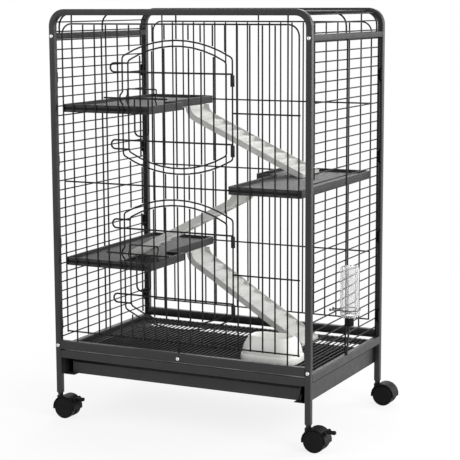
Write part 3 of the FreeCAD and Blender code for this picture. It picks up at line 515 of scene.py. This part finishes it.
def straight_tube(node, axis, above=0, below=0, finish=COAT):
    """A tube along X (axis 0) or Y (axis 1) in its node's box, less a gap above or below it."""
    low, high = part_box(node)
    low, high = low + Z * below, high - Z * above
    middle = (low + high) / 2
    size = high - low
    along = (X, Y)[axis]
    across = (Y, X)[axis]
    ends = [middle - along * size[axis] / 2, middle + along * size[axis] / 2]
    swept_tube(node, [(end, across, Z) for end in ends], size[1 - axis], size.z, finish)


def hoop_tube(node):
    """One bent tube: up the left leg, over the top and down the right leg."""
    low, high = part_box(node)
    size = high.y - low.y
    y = (low.y + high.y) / 2
    left, right, top = low.x + size / 2, high.x - size / 2, high.z - size / 2
    path = [(Vector((left, y, low.z)), -X, Y)]
    for way, centre in ((-1, left + HOOP_BEND), (1, right - HOOP_BEND)):
        for step in range(HOOP_STEPS + 1):
            share = step / HOOP_STEPS
            turn = math.pi / 2 * (share if way < 0 else 1 - share)
            out = Vector((way * math.cos(turn), 0, math.sin(turn)))
            path.append((Vector((centre, y, top - HOOP_BEND)) + HOOP_BEND * out, out, Y))
    path.append((Vector((right, y, low.z)), X, Y))
    swept_tube(node, path, size, size)


def tray_runner(node):
    """The folded runner, carried on below the end rails to meet the round corners of the posts."""
    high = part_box(node)[1]
    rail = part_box("rear_lower_rail")[0].z
    foot, middle, top = RUNNER_STEP
    bm = solid_faces(node)
    for drop in (foot, top):
        cut(bm, (0, 0, rail - drop), Z)
    for vert in bm.verts:
        if abs(vert.co.y) > high.y - TOUCH and vert.co.z < rail - middle:
            vert.co.y += math.copysign(RUNNER_REACH, vert.co.y)
    dress(node, bm, "powder_coat", "folded", 32, 0.0004)


for end in ("front", "rear"):
    hoop_tube(end + "_hoop")
    straight_tube(end + "_upper_rail", 0, below=UPPER_RAIL_GAP)
    straight_tube(end + "_lower_rail", 0, above=LOWER_RAIL_GAP)
for side in ("left", "right"):
    straight_tube(side + "_crossbar", 1, finish=BAR)
    # The base rail's finish carries a painted shade line along its foot
    straight_tube(side + "_base_rail", 1, finish=RAIL_WITH_SHADE_SEAM)
    tray_runner(side + "_tray_runner")


# Moulded pieces
def waste_tray(node):
    """The tray with its front wall cut lower, so that a gap shows under the front rail."""
    low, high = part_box(node)
    left, right = low.x + TRAY_INSET, high.x - TRAY_INSET
    bm = solid_faces(node)
    for x in (left, right):
        cut(bm, (x, 0, 0), X)
    for vert in bm.verts:
        inner = left - TOUCH < vert.co.x < right + TOUCH
        if inner and vert.co.y < low.y + TRAY_FRONT and vert.co.z > high.z - TOUCH:
            vert.co.z -= TRAY_DROP
    dress(node, bm, "tray_plastic", "moulding", 32, 0.0006)


def panel_clips(node):
    """Clips that narrow towards the inside of the cage."""
    bm = solid_faces(node)
    for faces in solids(bm):
        low, high = extent(faces)
        centre = (low + high) / 2
        for vert in {vert for face in faces for vert in face.verts}:
            if abs(vert.co.y) < abs(centre.y):
                vert.co.z = centre.z + (vert.co.z - centre.z) * CLIP_TAPER
    dress(node, bm, "black_plastic", "moulding", 32, 0.0009, CLIP)


def food_bowl(node):
    """A dish with a flange foot, rounded walls and a rolled lip, as (inset, level) rings."""
    low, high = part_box(node)
    size, height = high - low, high.z - low.z
    centre = (low + high) / 2
    ledge, foot = 0.0034, 0.0166
    lean, bulge, wall_top = 0.0146, 2.2, height - 0.0018
    rim, rim_level = 0.0222, height - 0.001
    slope, floor_level = 0.0045, 0.0155
    corner, corner_shrink = 0.035, 0.6
    shares = [step / 10 for step in range(1, 11)]
    rings = [(0.0005, 0), (0, 0.0006), (0.0004, 0.0142), (0.001, 0.0154), (0.0022, 0.016)]
    rings += [(ledge, foot)]
    rings += [(ledge + lean * rise ** bulge, foot + (wall_top - foot) * rise) for rise in shares]
    rings += [(0.0186, height - 0.0008), (0.0198, height), (0.0212, height), (rim, rim_level)]
    rings += [(rim + slope * fall ** 2, rim_level - (rim_level - floor_level) * fall)
              for fall in shares]
    rings += [(0.0285, 0.0135), (0.032, 0.0122)]
    bm = bmesh.new()
    loops = []
    for inset, level in rings:
        outline = rounded_rectangle(size.x - 2 * inset, size.y - 2 * inset,
                                    corner - inset * corner_shrink, 8)
        loops.append(points(bm, [Vector((centre.x + a, centre.y + b, low.z + level))
                                 for a, b in outline]))
    skin(bm, loops)
    bm.faces.new(loops[0])
    bm.faces.new(loops[-1])
    dress(node, bm, "light_plastic", "dish", 60, finish=BOWL)


waste_tray("waste_tray")
panel_clips("panel_clips")
for level in ("upper", "middle", "lower"):
    soften(level + "_deck", "deck_plastic", 0.0012)
    soften(level + "_ramp", "light_plastic", 0.0011)
food_bowl("food_bowl")


# Drinking bottle
def bottle_body(node):
    """A hollow body with rounded ends, a little waisted between two bands."""
    low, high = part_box(node)
    centre = (low + high) / 2
    tall, wide = high.z - low.z, (high.y - low.y) / 2
    wall, neck, foot = 0.0022, 0.0088, 0.0002
    low_round, high_round = (0.006, 0.007), (0.005, 0.006)
    waist = wide - 0.0004
    turns = [math.pi / 2 * step / 6 for step in range(7)]
    curve = [(math.sin(turn), 1 - math.cos(turn)) for turn in turns]
    outer = [(neck, foot)]
    outer += [(wide - low_round[0] + low_round[0] * s, foot + low_round[1] * c) for s, c in curve]
    outer += [(wide, tall * 0.12), (waist, tall * 0.14), (waist, tall * 0.86), (wide, tall * 0.88)]
    outer += [(wide - high_round[0] + high_round[0] * s, tall - high_round[1] * c)
              for s, c in reversed(curve)]
    outer += [(wide * 0.55, tall - 0.0012), (0, tall - 0.0022)]
    inner = [(max(radius - wall, 0), height + (wall if height < tall / 2 else -wall))
             for radius, height in outer[1:]]
    bm = bmesh.new()
    turned(bm, outer + inner[::-1], Vector((centre.x, centre.y, low.z)), Z, 48, closed=True)
    dress(node, bm, "clear_plastic", "shell", 60)
    return centre


def bottle_cap(node, centre):
    """A screw cap with grooves round its side."""
    low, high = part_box(node)
    tall, wide = high.z - low.z, (high.y - low.y) / 2
    groove, spacing = 0.0005, 3
    profile = [(0, 0), (0.004, 0), (wide - 0.0022, 0), (wide - 0.0008, 0.0006), (wide, 0.0018),
               (wide, tall - 0.0022), (wide - 0.0004, tall - 0.0012), (wide - 0.0004, tall),
               (0, tall)]

    def ridge(step, height):
        return -groove if step % spacing == 0 and 0.001 < height < tall - 0.002 else 0

    bm = bmesh.new()
    turned(bm, profile, Vector((centre.x, centre.y, low.z)), Z, 60, ridge=ridge)
    dress(node, bm, "black_plastic", "knurled", 50)


def bottle_spout(node, centre):
    """A leaning tube that narrows to a ball at its end."""
    low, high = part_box(node)
    top = Vector((centre.x, centre.y, high.z))
    fall = Vector((low.x - high.x + (high.y - low.y), 0, low.z - high.z))
    radius, long = (high.y - low.y) / 2, fall.length
    profile = [(0, 0.0012), (radius, 0.0012), (radius, long - 0.006),
               (radius * 0.94, long - 0.003), (radius * 0.72, long - 0.0009),
               (radius * 0.6, long - 0.0009), (radius * 0.56, long - 0.0016),
               (radius * 0.5, long - 0.0011), (radius * 0.3, long - 0.0006), (0, long - 0.0004)]
    bm = bmesh.new()
    turned(bm, profile, top, fall.normalized(), 20)
    dress(node, bm, "spout_steel", "tube", 60)


bottle_axis = bottle_body("bottle_body")
bottle_cap("bottle_cap", bottle_axis)
bottle_spout("bottle_spout", bottle_axis)


# Screws
def screws(node):
    """Domed heads with a cross recess."""
    fill, recess_width, recess_reach, recess_depth = 0.96, 0.13, 0.6, 0.5
    source, bm = solid_faces(node), bmesh.new()
    for faces in solids(source):
        low, high = extent(faces)
        centre = (low + high) / 2
        axis = Y if centre.y > 0 else -Y
        seat = Vector((centre.x, low.y if centre.y > 0 else high.y, centre.z))
        radius, tall = (high.x - low.x) / 2 * fill, high.y - low.y
        profile = [(radius, 0), (radius, tall * 0.22), (radius * 0.97, tall * 0.36),
                   (radius * 0.84, tall * 0.66), (radius * 0.62, tall * 0.88),
                   (radius * 0.44, tall * 0.97), (radius * 0.34, tall), (0, tall)]
        before = len(bm.verts)
        turned(bm, profile, seat, axis)
        bm.verts.ensure_lookup_table()
        for vert in list(bm.verts)[before:]:
            off = vert.co - seat
            height = off.dot(axis)
            flat = off - axis * height
            on_cross = min(abs(flat.x), abs(flat.z)) < radius * recess_width
            if on_cross and flat.length < radius * recess_reach and height > tall * 0.86:
                vert.co -= axis * tall * recess_depth
    source.free()
    dress(node, bm, "screw_steel", "heads", 35)


screws("screws")


# Casters
def caster_wheels(node):
    """Twin wheels with rounded treads and a groove inside the rim, on one axle."""
    low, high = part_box(node)
    centre = (low + high) / 2
    radius, half = (high.z - low.z) / 2, (high.y - low.y) / 2
    gap, axle, axle_grip, groove = 0.0044, 0.003, 0.001, 0.0005
    tread = [(0.0012, 0.0006), (0.0002, 0.002), (0, 0.005)]
    profile = [(0.004, gap), (radius - 0.004, gap)]
    profile += [(radius - inset, gap + depth) for inset, depth in tread]
    profile += [(radius - inset, half - depth) for inset, depth in reversed(tread)]
    profile += [(radius - 0.003, half), (radius - 0.0036, half),
                (radius - 0.0041, half - groove), (radius - 0.0046, half - groove),
                (radius - 0.0051, half), (0.006, half), (0, half)]
    bm = bmesh.new()
    for way in (-1, 1):
        turned(bm, profile, centre, Y * way, 48)
    turned(bm, [(axle, -gap - axle_grip), (axle, gap + axle_grip)], centre, Y, 24)
    dress(node, bm, "black_plastic", "tyres", 35)


def brake_lever(node):
    """A thick rounded tongue on its pin, as (place along, half width, half thickness) rings."""
    low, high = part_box(node)
    half = (high.z - low.z) / 2
    pivot = Vector((low.x + half, (low.y + high.y) / 2, low.z + half))
    long, pin = high.x - pivot.x, (high.y - low.y) / 2
    pin_radius, sides, squareness = 0.0014, 24, 0.7
    stations = [(-half, 0, 0), (-half * 0.8, 0.0046, half * 0.6),
                (-half * 0.3, 0.0060, half * 0.95), (half * 0.5, 0.0060, half),
                (long * 0.5, 0.0058, half * 1.15), (long * 0.8, 0.0056, half * 1.3),
                (long * 0.9, 0.0050, half * 1.2), (long * 0.97, 0.0036, half * 0.85),
                (long, 0, 0)]
    bm = bmesh.new()
    turned(bm, [(0, -pin), (pin_radius, -pin), (pin_radius, pin), (0, pin)], pivot, Y, 16)
    rings = []
    for along, wide, thick in stations:
        centre = pivot + X * along
        if wide == 0:
            rings.append([bm.verts.new(centre)] * sides)
            continue
        ring = []
        for step in range(sides):
            turn = 2 * math.pi * step / sides
            out, up = [math.copysign(abs(part) ** squareness, part)
                       for part in (math.cos(turn), math.sin(turn))]
            ring.append(centre + Y * (wide * out) + Z * (thick * up))
        rings.append(points(bm, ring))
    skin(bm, rings)
    dress(node, bm, "black_plastic", "tongue", 60)


for corner in CORNERS:
    caster_wheels(corner + "_caster_wheels")
    soften(corner + "_caster_hood", "black_plastic", 0.0007)
    soften(corner + "_caster_stem", "spout_steel", 0.0004, "pin")
for corner in BRAKED:
    brake_lever(corner + "_caster_brake")


# Studio: pale floor that keeps the shadow, white surroundings, soft lamps
WHITE = (1, 1, 1, 1)
AMBIENT = 0.55
FLOOR_SIZE = 30
FLOOR_GLOW, FLOOR_FADE = (0.82, 1.0), (0.4, 0.9)    # share of white, over metres from the cage
LAMP_AIM = Vector((0, 0, 0.5))
LAMPS = (("key", (3.2, -1.4, 1.8), 2.4, 92), ("fill", (-2.4, -2.8, 1.8), 2.6, 18),
         ("back", (-1.0, 2.8, 2.6), 2.4, 45), ("rim", (2.8, 2.2, 1.4), 2.2, 80))

# The pinhole camera that was fitted to the photograph
CAMERA_SPOT = (1.5224, -3.0919, 0.9685)
CAMERA_YAW, CAMERA_PITCH, CAMERA_ROLL = -0.4582, 0.153, -0.004057
SENSOR_WIDTH, FOCAL_PIXELS, PHOTO_PIXELS = 36, 1485, 460


def white_rays(tree):
    """One where a camera, glossy or transmission ray arrives, and nought elsewhere."""
    path = tree.nodes.new("ShaderNodeLightPath")
    value = path.outputs["Is Camera Ray"]
    for name in ("Is Glossy Ray", "Is Transmission Ray"):
        most = tree.nodes.new("ShaderNodeMath")
        most.operation = "MAXIMUM"
        tree.links.new(value, most.inputs[0])
        tree.links.new(path.outputs[name], most.inputs[1])
        value = most.outputs["Value"]
    return value


def surroundings():
    """White to the rays that show it, and a softer light to the rest."""
    world = bpy.data.worlds.new("studio")
    scene.world = world
    world.use_nodes = True
    tree = world.node_tree
    ambient = tree.nodes["Background"]
    white = tree.nodes.new("ShaderNodeBackground")
    for light, strength in ((ambient, AMBIENT), (white, 1)):
        light.inputs["Color"].default_value = WHITE
        light.inputs["Strength"].default_value = strength
    mix = tree.nodes.new("ShaderNodeMixShader")
    tree.links.new(white_rays(tree), mix.inputs[0])
    tree.links.new(ambient.outputs[0], mix.inputs[1])
    tree.links.new(white.outputs[0], mix.inputs[2])
    tree.links.new(mix.outputs[0], tree.nodes["World Output"].inputs["Surface"])


def floor():
    """A pale floor that turns into the white surroundings away from the cage."""
    bm = bmesh.new()
    bmesh.ops.create_grid(bm, x_segments=8, y_segments=8, size=FLOOR_SIZE)
    mesh = bpy.data.meshes.new("floor")
    bm.to_mesh(mesh)
    bm.free()
    plane = bpy.data.objects.new("floor", mesh)
    scene.collection.objects.link(plane)
    paper = Nodes("pale_floor")
    tree = paper.tree
    colour = paper.blend(paper.noise(3), (0.90, 0.90, 0.90), (0.92, 0.92, 0.92))
    paper.finish(Base_Color=colour, Roughness=0.9, Specular_IOR_Level=0.1)
    length = paper.add("ShaderNodeVectorMath", Vector=paper.place)
    length.operation = "LENGTH"
    glowing = paper.span(length.outputs["Value"], *FLOOR_GLOW, *FLOOR_FADE)
    seen = tree.nodes.new("ShaderNodeMath")
    seen.operation = "MULTIPLY"
    tree.links.new(glowing, seen.inputs[0])
    tree.links.new(white_rays(tree), seen.inputs[1])
    glow = paper.add("ShaderNodeEmission", Color=WHITE, Strength=1.0)
    mix = tree.nodes.new("ShaderNodeMixShader")
    tree.links.new(seen.outputs["Value"], mix.inputs[0])
    tree.links.new(paper.shader.outputs["BSDF"], mix.inputs[1])
    tree.links.new(glow.outputs["Emission"], mix.inputs[2])
    tree.links.new(mix.outputs[0], tree.nodes["Material Output"].inputs["Surface"])
    mesh.materials.append(paper.material)


def lamp(name, spot, size, power):
    light = bpy.data.lights.new(name, "AREA")
    light.shape = "DISK"
    light.size = size
    light.energy = power
    item = bpy.data.objects.new(name, light)
    item.location = spot
    item.rotation_euler = (LAMP_AIM - Vector(spot)).to_track_quat("-Z", "Y").to_euler()
    scene.collection.objects.link(item)


def camera():
    level = math.cos(CAMERA_PITCH)
    ahead = Vector((math.sin(CAMERA_YAW) * level, math.cos(CAMERA_YAW) * level,
                    -math.sin(CAMERA_PITCH)))
    right = Vector((math.cos(CAMERA_YAW), -math.sin(CAMERA_YAW), 0))
    up = right.cross(ahead)
    side = math.cos(CAMERA_ROLL) * right + math.sin(CAMERA_ROLL) * up
    top = math.cos(CAMERA_ROLL) * up - math.sin(CAMERA_ROLL) * right
    data = bpy.data.cameras.new("photo_view")
    data.sensor_width = SENSOR_WIDTH
    data.lens = SENSOR_WIDTH * FOCAL_PIXELS / PHOTO_PIXELS
    data.clip_start = 0.05
    data.clip_end = 100
    view = bpy.data.objects.new("photo_view", data)
    turn = Matrix((side, top, -ahead)).transposed().to_4x4()
    view.matrix_world = Matrix.Translation(CAMERA_SPOT) @ turn
    scene.collection.objects.link(view)
    scene.camera = view


surroundings()
floor()
for settings in LAMPS:
    lamp(*settings)
camera()
scene.view_settings.view_transform = "Standard"
